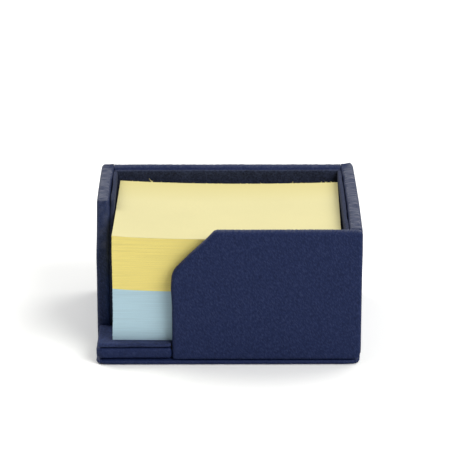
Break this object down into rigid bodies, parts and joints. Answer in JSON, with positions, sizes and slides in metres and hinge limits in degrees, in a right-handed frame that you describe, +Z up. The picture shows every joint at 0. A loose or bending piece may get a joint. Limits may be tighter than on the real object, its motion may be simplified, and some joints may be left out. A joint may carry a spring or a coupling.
{
  "type": "memo holder",
  "caption": "Open leather-covered desk box for loose note sheets, its front left corner cut away so that a thumb can lift the top sheet.",
  "frame": {"origin": "middle of the underside, on the desk", "axes": "+X to the right along the front panel, +Y from the front to the back, +Z up"},
  "size_m": [0.1228, 0.0936, 0.0659],
  "materials": {
    "navy_leather": "fine pebbled grain, satin",
    "navy_suede": "short nap, matte",
    "grey_board": "raw grey board",
    "yellow_paper": "matte uncoated",
    "blue_paper": "matte uncoated"
  },
  "bodies": {
    "holder": {"base_cover": "navy_leather", "front_cover": "navy_leather", "back_cover": "navy_leather", "left_cover": "navy_leather", "right_cover": "navy_leather", "sill_cover": "navy_leather", "base_board": "grey_board", "floor_board": "grey_board", "front_board": "grey_board", "back_board": "grey_board", "left_board": "grey_board", "right_board": "grey_board", "floor_lining_board": "grey_board", "back_lining_board": "grey_board", "left_lining_board": "grey_board", "right_lining_board": "grey_board", "floor_lining_suede": "navy_suede", "back_lining_suede": "navy_suede", "left_lining_suede": "navy_suede", "right_lining_suede": "navy_suede", "front_lining": "navy_suede"},
    "blue_pad": {"blue_pad": "blue_paper"},
    "yellow_pad": {"yellow_pad": "yellow_paper"},
    "top_sheet": {"top_sheet": "yellow_paper"}
  },
  "joints": [
    {"name": "blue_pad_lift", "type": "slide", "parent": "holder", "child": "blue_pad", "axis": [0, 0, 1], "range_m": [0, 0.06]},
    {"name": "yellow_pad_lift", "type": "slide", "parent": "blue_pad", "child": "yellow_pad", "axis": [0, 0, 1], "range_m": [0, 0.035]},
    {"name": "top_sheet_lift", "type": "slide", "parent": "yellow_pad", "child": "top_sheet", "axis": [0, 0, 1], "range_m": [0, 0.03]}
  ]
}
